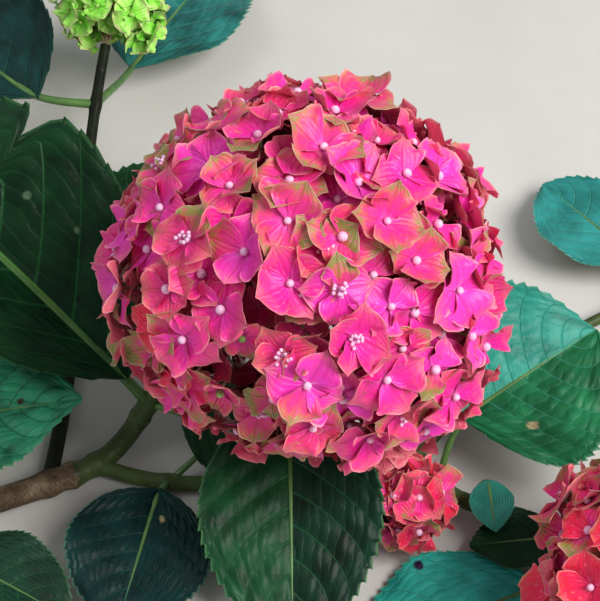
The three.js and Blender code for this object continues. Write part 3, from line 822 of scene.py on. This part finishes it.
def leaf_back_paint(name, look):
    paint = Paint(name, 0.35)
    along, across, _, vein, rungs, midrib = leaf_pattern(paint, *BACK_BAND)
    length, half = look.size
    cloud = paint.noise(paint.vector(along * length, across * half), 0.05, 3)
    colour = paint.ramp(cloud, [(0.3, (0.07, 0.15, 0.06)), (0.7, (0.11, 0.21, 0.09))])
    colour = paint.mix(paint.sum("MAXIMUM", vein, midrib), colour, (0.24, 0.34, 0.15))
    height = rungs * -0.15 + midrib * 0.6 + vein
    return paint.finish(colour, cloud * 0.2 + 0.5, height, depth=0.0008, strength=0.5)


# Painted shade: the green of a leaf that lies in shade.
SHADED_GREEN = dict(
    dark=(0.002, 0.018, 0.006), mid=(0.005, 0.045, 0.014), vein=(0.022, 0.13, 0.035),
    rib=(0.1, 0.28, 0.05), rim=(0.05, 0.15, 0.05), veins=0.6, rough=0.4,
    shine=0.15, quilt=0.1,
)
# Painted light: the green of a leaf that lies in light.
LIT = dict(
    dark=(0.002, 0.015, 0.007), mid=(0.005, 0.04, 0.02), vein=(0.024, 0.12, 0.04),
    rib=(0.06, 0.22, 0.06), rim=(0.09, 0.26, 0.09), veins=0.55, rough=0.44,
    shine=0.24, quilt=0.14,
)
# Teal: partly the leaves' own green and partly a painted reflection of the sky.
TEAL_AND_SKY_SHEEN = dict(
    dark=(0.012, 0.15, 0.11), mid=(0.03, 0.3, 0.22), vein=(0.07, 0.38, 0.26),
    rib=(0.09, 0.36, 0.19), rim=(0.14, 0.4, 0.24), veins=0.45, rough=0.42,
    shine=0.24, quilt=0.16,
)
# The teal made darker as painted shade, keeping its painted sky sheen.
SHADED_SEA_GREEN = dict(
    dark=(0.003, 0.02, 0.017), mid=(0.006, 0.045, 0.04), vein=(0.015, 0.08, 0.06),
    rib=(0.04, 0.14, 0.08), rim=(0.08, 0.22, 0.14), veins=0.5, rough=0.4,
    shine=0.18, quilt=0.2,
)
DRY = (0.35, 0.3, 0.16)
PALE = (0.1, 0.17, 0.09)
BROWN = (0.03, 0.02, 0.012)
PURPLE = (0.02, 0.006, 0.03)
LEAF_LOOKS = {  # each leaf's greens paint in the light and shade it lies in; all other leaves take the painted-shade green
    "leaf_large": dict(
        SHADED_GREEN, rib_width=1.5, rib=(0.12, 0.33, 0.06),
        spots=[((0.33, 0.52), 1.8, PALE), ((0.47, 0.42), 2.4, PALE)],
    ),
    # Its other greens paint the half where across is above 0 lighter, as light on that half.
    "leaf_front": dict(
        LIT, dark=(0.001, 0.01, 0.005), mid=(0.003, 0.032, 0.017), rib=(0.04, 0.17, 0.045),
        other=((0.002, 0.028, 0.009), (0.007, 0.078, 0.024)), rough=0.46, shine=0.22, quilt=0.16,
    ),
    "leaf_back": LIT,
    "leaf_low_left": dict(
        SHADED_SEA_GREEN, dark=(0.002, 0.013, 0.012), mid=(0.004, 0.031, 0.028), shine=0.13,
        spots=[((0.2, -0.21), 2.2, DRY)],
    ),
    "leaf_left_tip": dict(
        LIT, dark=(0.006, 0.075, 0.038), mid=(0.034, 0.31, 0.16), vein=(0.007, 0.07, 0.034),
        net=0.35, rough=0.4, quilt=0.2, spots=[((0.69, -0.09), 2.3, BROWN)],
    ),
    "leaf_corner": LIT,
    "leaf_upper_left": SHADED_SEA_GREEN,
    "leaf_upper": dict(TEAL_AND_SKY_SHEEN, dark=(0.005, 0.062, 0.057), mid=(0.024, 0.22, 0.2)),
    # Its other greens paint the half where across is above 0 darker, as shade on that half.
    "leaf_right": dict(
        TEAL_AND_SKY_SHEEN, dark=(0.012, 0.17, 0.125), mid=(0.03, 0.33, 0.245),
        other=((0.004, 0.075, 0.024), (0.014, 0.19, 0.068)), quilt=0.26,
        spots=[((0.31, 0.46), 2.8, DRY)],
    ),
    "leaf_small": TEAL_AND_SKY_SHEEN,
    "leaf_low_right": dict(
        TEAL_AND_SKY_SHEEN, dark=(0.014, 0.22, 0.18), mid=(0.03, 0.4, 0.33), shine=0.17,
        spots=[((0.5, 0.84), 3, PURPLE)],
    ),
    "leaf_far": dict(TEAL_AND_SKY_SHEEN, dark=(0.012, 0.15, 0.135), mid=(0.03, 0.29, 0.27)),
    "leaf_far_right": TEAL_AND_SKY_SHEEN,
}


def build_leaves(plans):
    stops = [(0.3, (0.045, 0.12, 0.028)), (0.7, (0.12, 0.24, 0.06))]
    stalk = grained_paint("leaf_stalk", 0.45, 0.4, stops, (80, 3), (900, 2))
    for name, leaf in LEAVES.items():
        look = Row(LEAF_LOOKS.get(name, SHADED_GREEN), size=(leaf.blade[2], leaf.half))
        paints = (leaf_paint(name + "_green", look), leaf_back_paint(name + "_under", look), stalk)
        build_leaf(name, leaf, plans, paints)


# Flower heads.

SEPAL_VARIANTS = {
    "pink": [
        (0, (0.92, 0.22, 0.58)), (0.16, (0.91, 0.02, 0.42)), (0.46, (0.9, 0.018, 0.28)),
        (0.74, (0.86, 0.065, 0.22)), (1, (0.81, 0.19, 0.23)),
    ],
    "violet": [
        (0, (0.92, 0.3, 0.72)), (0.18, (0.9, 0.04, 0.53)), (0.58, (0.89, 0.032, 0.4)),
        (0.84, (0.86, 0.1, 0.29)), (1, (0.81, 0.21, 0.26)),
    ],
    "coral": [
        (0, (0.88, 0.12, 0.44)), (0.18, (0.87, 0.02, 0.28)), (0.46, (0.82, 0.034, 0.17)),
        (0.8, (0.76, 0.11, 0.15)), (1, (0.66, 0.23, 0.16)),
    ],
    "red": [
        (0, (0.9, 0.06, 0.24)), (0.22, (0.9, 0.01, 0.11)), (0.6, (0.88, 0.013, 0.058)),
        (0.86, (0.78, 0.06, 0.09)), (1, (0.72, 0.19, 0.12)),
    ],
    "tipped": [
        (0, (0.9, 0.12, 0.5)), (0.22, (0.89, 0.022, 0.34)), (0.56, (0.82, 0.055, 0.18)),
        (0.74, (0.62, 0.17, 0.11)), (0.88, (0.33, 0.26, 0.07)), (1, (0.5, 0.36, 0.15)),
    ],
    "green": [
        (0, (0.8, 0.1, 0.36)), (0.26, (0.79, 0.04, 0.22)), (0.46, (0.56, 0.14, 0.09)),
        (0.62, (0.3, 0.23, 0.055)), (0.84, (0.17, 0.28, 0.05)), (1, (0.52, 0.36, 0.17)),
    ],
    "bud_green": [
        (0, (0.24, 0.78, 0.05)), (0.3, (0.3, 0.88, 0.07)), (0.66, (0.44, 0.94, 0.14)),
        (0.9, (0.6, 0.9, 0.26)), (1, (0.66, 0.54, 0.28)),
    ],
    "shade": [
        (0, (0.72, 0.03, 0.24)), (0.4, (0.62, 0.013, 0.13)), (0.8, (0.5, 0.03, 0.08)),
        (1, (0.42, 0.11, 0.06)),
    ],
    "under": [
        (0, (0.8, 0.34, 0.36)), (0.3, (0.82, 0.24, 0.3)), (0.7, (0.82, 0.11, 0.2)),
        (1, (0.78, 0.26, 0.22)),
    ],
}
VARIANT_NAMES = list(SEPAL_VARIANTS)
BAND = 1 / len(VARIANT_NAMES)  # each colour's share of a sepal's map
BAND_MARGIN = 0.04  # of which this is left free on either side
PALE_MARGIN = (0.88, 0.5, 0.42)


def sepal_paint(index, name):
    """A sepal's colour runs from its root to its tip, with fine veins and a blotchy edge."""
    sheen = {"Sheen Weight": 0.1, "Sheen Roughness": 0.4}
    paint = Paint("sepal_" + name, 0.42, 0.42, sheen)
    stops = SEPAL_VARIANTS[name]
    near, middle = stops[1][1], stops[2][1]
    x, y = paint.place()
    across = (y * (2 / BAND) - (2 * index + 1)) / (1 - 2 * BAND_MARGIN)
    out = abs(across)
    spot = paint.vector(x * 3.0, across * 1.6, index * 1.7)
    blotch = paint.noise(spot, 1.5, 5)
    colour = paint.ramp(out**3.0 * 0.16 + (blotch * 0.8 + (x - 0.4)), stops)
    fan = paint.sum("SINE", (blotch * 0.25 + across) * 26.0)
    vein = paint.step(fan, 0.55, 1.0) * (1 - x)
    midvein = 1 - paint.step(out, 0.02, 0.075)
    patch = paint.step(paint.noise(spot, 2.8, 4), 0.5, 0.62)
    pale = paint.step(paint.noise(spot, 3.6, 3), 0.58, 0.76)
    margin = paint.step(out, 0.86, 1.0) * (x * 0.5 + 0.1)
    for share, shade in (
        (paint.sum("MAXIMUM", vein * 0.3, midvein * 0.35), tuple(c * 0.62 for c in middle)),
        (patch * 0.5, near), (pale * 0.22, PALE_MARGIN), (margin, PALE_MARGIN),
    ):
        colour = paint.mix(share, colour, shade)
    height = fan * 0.25 + blotch * 0.8 - midvein * 0.8
    return paint.finish(colour, height=height, depth=0.0004, strength=0.6)


SEPAL_GRIDS = ((13, 9), (9, 7), (6, 5))  # rows and columns: outer florets, between and below
SEPAL_ENDS = (0.03, 0.99)  # where its mesh starts and ends, against its length
SEPAL_THICKNESS = 0.3
CURLED_SHARE = 0.15  # of the sepals, those whose tip curls up
SEPAL_SIDE_ROUND = 0.8  # how blunt the sepal's root is, and how its sides close to the tip
SEPAL_TIP = 2.4
OPEN_SEPAL = (1.0, 1.75, 1.0)  # ruffle, how drawn out the tip is, and width against the usual
YOUNG_SEPAL = (1.5, 0.6, 1.3)
SEPAL_SINK = 2.5  # how far a floret's seat lies below its place in the source


def head_reach(head, directions):
    """How far from the centre the florets stand, by the source's rule."""
    share = np.ones(directions.shape[:-1])
    for aim, reach, lift in head.swells:
        away = np.arccos(np.clip(directions @ facing(*aim), -1, 1))
        share = share + lift * bell(away, radians(reach))
    return head.radius * share


def make_floret(head, direction, level, normal, spin, width):
    centre = np.array(head.centre) + direction * level
    return SimpleNamespace(
        direction=direction, normal=normal, spin=spin, width=width, centre=centre
    )


def florets_of(head):
    """The source's florets, from its draws in their order."""
    axis = facing(*head.facing)
    chance = chances(head.seed)
    least = cos(radians(head.skirt))
    stray = FLORET_JITTER * sqrt(2 * pi * (1 - least) / head.florets)
    florets = []
    for i in range(head.florets):
        even = acos(1 - (i + 0.5) / head.florets * (1 - least))
        off = abs(even + (next(chance) * 2 - 1) * stray)
        turn = i * GOLDEN_ANGLE + (next(chance) * 2 - 1) * stray / max(sin(off), 0.2)
        direction = tilted(axis, off, turn)
        level = float(head_reach(head, direction)) + (next(chance) * 2 - 1) * FLORET_STRAY
        lean = next(chance) * FLORET_TILT
        normal = tilted(direction, lean, pi / 2 - next(chance) * 2 * pi)
        spin = next(chance) * pi / 2
        width = head.width * (1 + (next(chance) * 2 - 1) * FLORET_SPREAD)
        florets.append(make_floret(head, direction, level, normal, spin, width))
    return florets


def spread(head, count, skirt, turn=0.0):
    """Directions spread evenly over a head, down to the skirt's angle off its axis."""
    axis = facing(*head.facing)
    least = cos(radians(skirt))
    for i in range(count):
        off = acos(1 - (i + 0.5) / count * (1 - least))
        yield tilted(axis, off, i * GOLDEN_ANGLE + turn)


def filler_florets(head, rng, share, turn, depth, sizes, lean):
    """Finer florets between and below those of the source."""
    florets = []
    skirt = head.skirt + head.get("spare", 4)
    for direction in spread(head, int(head.florets * share), skirt, turn):
        level = float(head_reach(head, direction)) * (1 - depth) + rng.uniform(-1.5, 1.5)
        normal = unit(direction + rng.normal(0, lean, 3))
        spin = rng.uniform(0, np.pi / 2)
        width = head.width * rng.uniform(*sizes)
        florets.append(make_floret(head, direction, level, normal, spin, width))
    return florets


def sepal_profile(u, start, end):
    """How far out and how high a sepal's midline runs as its slope turns from start to end."""
    slope = start + (end - start) * u
    step = np.gradient(u)
    out = np.cumsum(np.cos(slope) * step)
    up = np.cumsum(np.sin(slope) * step)
    return out - out[0] + u[0], up - up[0]


def add_sepals(pile, florets, variants, rng, young, grid):
    """Four pointed, cupped and wavy sepals to each floret, one pair over the other."""
    along = np.linspace(*SEPAL_ENDS, grid[0])
    u, v = np.meshgrid(along, np.linspace(-1, 1, grid[1]), indexing="ij")
    ruffle, point, wider = YOUNG_SEPAL if young else OPEN_SEPAL
    outline = u**SEPAL_SIDE_ROUND * (1 - u**SEPAL_TIP) ** point
    outline = outline / outline.max()
    sheet = plan_sheet(u, v)
    for floret, tints in zip(florets, variants):
        normal = floret.normal
        openness = rng.uniform(0, 1)
        for k, name in enumerate(tints):
            ahead = around(normal, floret.spin + k * pi / 2 + rng.normal(0, 0.06))
            aside = np.cross(ahead, normal)
            length = floret.width / 2 * rng.uniform(0.96, 1.12)
            broad = length * rng.uniform(0.5, 0.62) * wider
            inner = k % 2
            start = 0.12 + 0.42 * openness + 0.14 * inner + rng.normal(0, 0.05)
            end = start + rng.uniform(-1.1, 0.2) + (0.5 if rng.uniform() < CURLED_SHARE else 0)
            out, up = sepal_profile(along, start, end)
            cup = rng.uniform(0.0, 0.25) + 0.2 * inner
            phase = rng.uniform(0, 2 * np.pi, 4)
            side = v * outline * broad
            wave = np.sin(9 * u + np.where(v > 0, *phase[:2]))
            ripple = np.sin(21 * u + np.where(v > 0, *phase[2:]))
            lift = up[:, None] + cup * np.abs(v) ** 1.6 * outline * broad / length
            lift = lift + ruffle * v * v * outline * (0.12 * wave + 0.04 * ripple)
            lift = lift - 0.025 * bell(v, 0.16) * (1 - u)
            bow = rng.normal(0, 0.07) * u * u
            twist = rng.normal(0, 0.14)
            surface = (
                floret.seat + ahead * (out[:, None] * length * (1 + 0.02 * ripple))[..., None]
                + aside * (side * (1 - 0.1 * cup) + bow * length)[..., None]
                + normal * (lift * length + twist * side)[..., None]
            )
            back = name if name == "bud_green" else "under"
            slots = [VARIANT_NAMES.index(name), VARIANT_NAMES.index(back)]
            bands = [(BAND * (n + BAND_MARGIN), BAND * (n + 1 - BAND_MARGIN)) for n in slots]
            pile.add_sheet(surface, None, SEPAL_THICKNESS, sheet, slots, bands)


CLEFT_WIDTH = 0.17  # radians off a cleft's line that it is felt, on the large head
CLEFT_DEPTH = 6  # by how much a floret in the middle of a cleft lies lower
CLEFT_SHRINK = 0.3  # and by what share it is smaller
CLEFT_EDGE = 0.4  # share of the depth from which a floret counts as in the cleft
LARGE_RADIUS = HEADS["main_bloom"].radius
FLORETS_TO_A_RAY = 7
HUB_REACH = 0.62  # how far out the rays' ends lie, against the florets
RAY_RADII = (1.5, 1.0)  # at the stem and at the hub
STALK_RADIUS = 0.62
BUD_RADII = (1.5, 2.1)  # of a closed middle, least and most
EYE_FULL_WIDTH = 28  # narrower florets have a smaller middle
STAMENS = (9, 12)  # least and most in an open middle
STAMEN_REACH = (0.9, 3.5)
STAMEN_RISE = (2.4, 4.4)
STAMEN_RADII = (0.22, 0.18, 0.16)
BEAD_RADII = (0.85, 0.85, 0.8)
BUD = ball(7, 10)
BEAD = ball(5, 7)


def add_ball(pile, shape, centre, axis, radii, slot):
    points, quads, fans = shape
    placed = centre + points * radii @ np.array([*sideways(axis), axis])
    first = pile.count
    pile.add(placed, quads, (0.5, 0.5), slot)
    pile.add_faces(fans, (0.5, 0.5), slot, first)


def add_eye(pile, floret, opened, rng, slot=0):
    """The small true flower in the middle: a closed bud, or open with its stamens."""
    normal, centre = floret.normal, floret.seat
    if not opened:
        r = rng.uniform(*BUD_RADII) * min(1.0, floret.width / EYE_FULL_WIDTH)
        add_ball(pile, BUD, centre + normal * (r * 0.8 + 0.4), normal, (r, r, r * 0.9), slot)
        return
    add_ball(pile, BUD, centre + normal * 1.3, normal, (1.3, 1.3, 1.1), slot + 1)
    count = rng.integers(*STAMENS, endpoint=True)
    for i in range(count):
        outward = around(normal, 2 * np.pi * i / count + rng.normal(0, 0.15))
        reach = rng.uniform(*STAMEN_REACH)
        foot = centre + normal * 1.2
        tip = centre + outward * reach + normal * rng.uniform(*STAMEN_RISE)
        middle = (foot + tip) / 2 + outward * 0.5
        add_tube(pile, [foot, middle, tip], STAMEN_RADII, 5, slot + 1)
        add_ball(pile, BEAD, tip, normal, BEAD_RADII, slot)


def add_stalks(pile, head, florets):
    """Rays from the stem's end to hubs inside the head, and a stalk from there to each floret."""
    axis = facing(*head.facing)
    neck = np.array(head.centre) - axis * head.neck
    count = max(5, head.florets // FLORETS_TO_A_RAY)
    hubs = np.array(list(spread(head, count, head.skirt - 8)))
    reach = head_reach(head, hubs) * HUB_REACH
    places = np.array(head.centre) + hubs * reach[:, None]
    thick = head.radius / LARGE_RADIUS
    first, last = RAY_RADII
    t = np.linspace(0, 1, 9)
    for place, hub in zip(places, hubs):
        ray = Curve(neck, unit(axis + hub * 0.8), place, unit(hub + axis * 0.2))
        add_tube(pile, ray.points(t), (first + (last - first) * t) * max(thick, 0.5), 8)
    for floret in florets:
        start = places[int(np.argmax(hubs @ floret.direction))]
        lead = unit(floret.centre - start + floret.direction * 4)
        stalk = Curve(start, lead, floret.seat - floret.normal * 0.1, floret.normal)
        radii = np.full(len(t), STALK_RADIUS) * max(thick, 0.6)
        radii[-1] *= 1.4
        add_tube(pile, stalk.points(t), radii, 6)


# Which colours each head's florets are dealt, with their shares. The large head has a lot for
# its fresh side, its sunned top, its clefts and its weathered and shaded side, where lots mix by
# chance.
FRESH = dict(pink=0.4, violet=0.34, coral=0.12, tipped=0.14)
SUNNED = dict(pink=0.34, violet=0.14, coral=0.28, tipped=0.24)
SUNNED_FROM = 0.72  # height of a floret's direction from which it is sunned
# The weathered lot is partly real green and brown wear and partly painted shade, on the side that
# the light does not reach.
WEATHERED_AND_SHADED = dict(pink=0.28, violet=0.15, coral=0.1, red=0.09, tipped=0.22, green=0.16)
SHADED_WEATHERED_SIDE = (-150, -5)
WEATHER_AND_SHADE = (1.5, 0.45)  # chance of weathered and shaded florets: their nearness to it, times this less that
SPARSE = (0.6, 0.6)  # nearness to it from which finer florets are missing, and what share is
CLEFT_DEAL = dict(green=0.6, tipped=0.25, red=0.15)
DEALS = {
    "second_bloom": dict(red=0.5, coral=0.5),
    "third_bloom": dict(red=0.8, coral=0.08, tipped=0.12),
    "young_bloom": dict(bud_green=1.0),
}
# Finer florets: their number against the source's, how far round they are set on, how far they lie
# below the surface against its reach, the range of their widths, and how far they lean.
BETWEEN = (0.9, 1.2, 0.06, (0.82, 1.0), 0.2)
YOUNG_BETWEEN = (1.6, *BETWEEN[1:])
DEEP_LAYER = (0.8, 2.0, 0.17, (0.75, 0.95), 0.35)
DEEPEST_LAYER = (0.5, 0.6, 0.32, (0.95, 1.15), 0.2)
OPEN_FROM = 60  # florets from here on open by chance, those before it as the head lists them
OPEN_SHARE = 0.1
STRAY_TINTS = 0.16  # share of single sepals that take another colour
STRAY_GREENS = 0.04


def side_nearness(floret):
    return float(floret.direction @ facing(*SHADED_WEATHERED_SIDE))


def deal(head_name, florets, rng):
    """The colour of each sepal: one for the floret, with a few strays."""
    dealt = []
    for floret in florets:
        shares = DEALS.get(head_name)
        if shares is None and floret.in_cleft:
            shares = CLEFT_DEAL
        elif shares is None:
            # Florets facing the shaded side take the weathered lot more often, as partly painted
            # shade.
            weather_and_shade = WEATHER_AND_SHADE[0] * side_nearness(floret) - WEATHER_AND_SHADE[1]
            top = floret.direction[2] > SUNNED_FROM
            shares = WEATHERED_AND_SHADED if rng.uniform() < weather_and_shade else SUNNED if top else FRESH
        weights = np.array(list(shares.values()))
        tints = [list(shares)[rng.choice(len(weights), p=weights / weights.sum())]] * 4
        if head_name != "young_bloom":
            for k, draw in enumerate(rng.uniform(size=4)):
                if draw < STRAY_TINTS:
                    tints[k] = "green" if draw < STRAY_GREENS else "tipped"
        dealt.append(tints)
    return dealt


def seat_florets(head, florets):
    """Florets along the clefts of a head are small and low."""
    width = CLEFT_WIDTH * sqrt(LARGE_RADIUS / head.radius)
    clefts = [facing(*aim) for aim in head.get("clefts", ())]
    for floret in florets:
        away = [acos(min(float(floret.direction @ cleft), 1)) for cleft in clefts]
        share = float(bell(min(away, default=pi), width))
        floret.in_cleft = share > CLEFT_EDGE
        floret.width *= 1 - CLEFT_SHRINK * share
        floret.centre = floret.centre - floret.direction * CLEFT_DEPTH * share
        floret.seat = floret.centre - floret.direction * SEPAL_SINK


def is_sparse(head_name, floret, rng):
    """The weathered and shaded side of the large head has lost part of its lower florets, so the
    darker painted-shade florets below show through.
    """
    least, share = SPARSE
    on_shaded_weathered_side = side_nearness(floret) > least
    return head_name == "main_bloom" and on_shaded_weathered_side and rng.uniform() < share


def build_head(name, head, paints, rng):
    young = name == "young_bloom"
    florets = florets_of(head)
    between = filler_florets(head, rng, *(YOUNG_BETWEEN if young else BETWEEN))
    deep = filler_florets(head, rng, *DEEP_LAYER)
    deep += filler_florets(head, rng, *DEEPEST_LAYER)
    for lot in (florets, between, deep):
        seat_florets(head, lot)
    between = [f for f in between if not f.in_cleft and not is_sparse(name, f, rng)]
    if young:
        florets = [f for f in florets if not f.in_cleft]
    pile = Pile(*paints["sepals"])
    outer, middle, inner = SEPAL_GRIDS
    add_sepals(pile, florets, deal(name, florets, rng), rng, young, outer)
    pile.build(name + "_sepals", name)
    pile = Pile(*paints["sepals"])
    add_sepals(pile, between, deal(name, between, rng), rng, young, middle)
    shaded = [["bud_green" if young else "shade"] * 4 for _ in deep]
    add_sepals(pile, deep, shaded, rng, young, inner)
    pile.build(name + "_inner_sepals", name)
    eyes = Pile(*paints["young_eyes" if young else "eyes"])
    listed = head.get("opened", ())
    for i, floret in enumerate(florets + between):
        opened = i in listed or bool(listed) and OPEN_FROM < i and rng.uniform() < OPEN_SHARE
        add_eye(eyes, floret, opened, rng, 2 if floret.in_cleft and not young else 0)
    eyes.build(name + "_eyes", name)
    stalks = Pile(paints["stalks"])
    add_stalks(stalks, head, florets + between + deep)
    stalks.build(name + "_stalks", name)


def build_heads():
    beads = [
        grained_paint(name, 0.4, 0.4, [(0.35, dark), (0.65, light)], (600, 2), (600, 2))
        for name, dark, light in (
            ("bead", (0.88, 0.42, 0.68), (0.92, 0.62, 0.8)),
            ("stamen", (0.66, 0.2, 0.52), (0.84, 0.42, 0.72)),
            ("green_bead", (0.22, 0.4, 0.09), (0.36, 0.55, 0.16)),
            ("young_bead", (0.28, 0.5, 0.08), (0.42, 0.66, 0.13)),
            ("young_stamen", (0.4, 0.52, 0.14), (0.55, 0.66, 0.25)),
        )
    ]
    stalk = shoot_paint("flower_stalk", (0.2, 0.24, 0.08), (0.42, 0.22, 0.16), (0.5, 0.2, 0.2))
    sepals = [sepal_paint(i, name) for i, name in enumerate(VARIANT_NAMES)]
    paints = {"sepals": sepals, "eyes": beads[:3], "young_eyes": beads[3:], "stalks": stalk}
    for name, head in HEADS.items():
        build_head(name, head, paints, np.random.default_rng(head.seed))


make_camera()
make_studio()
PLANS = stem_plan()
build_stems(PLANS)
build_leaves(PLANS)
build_heads()
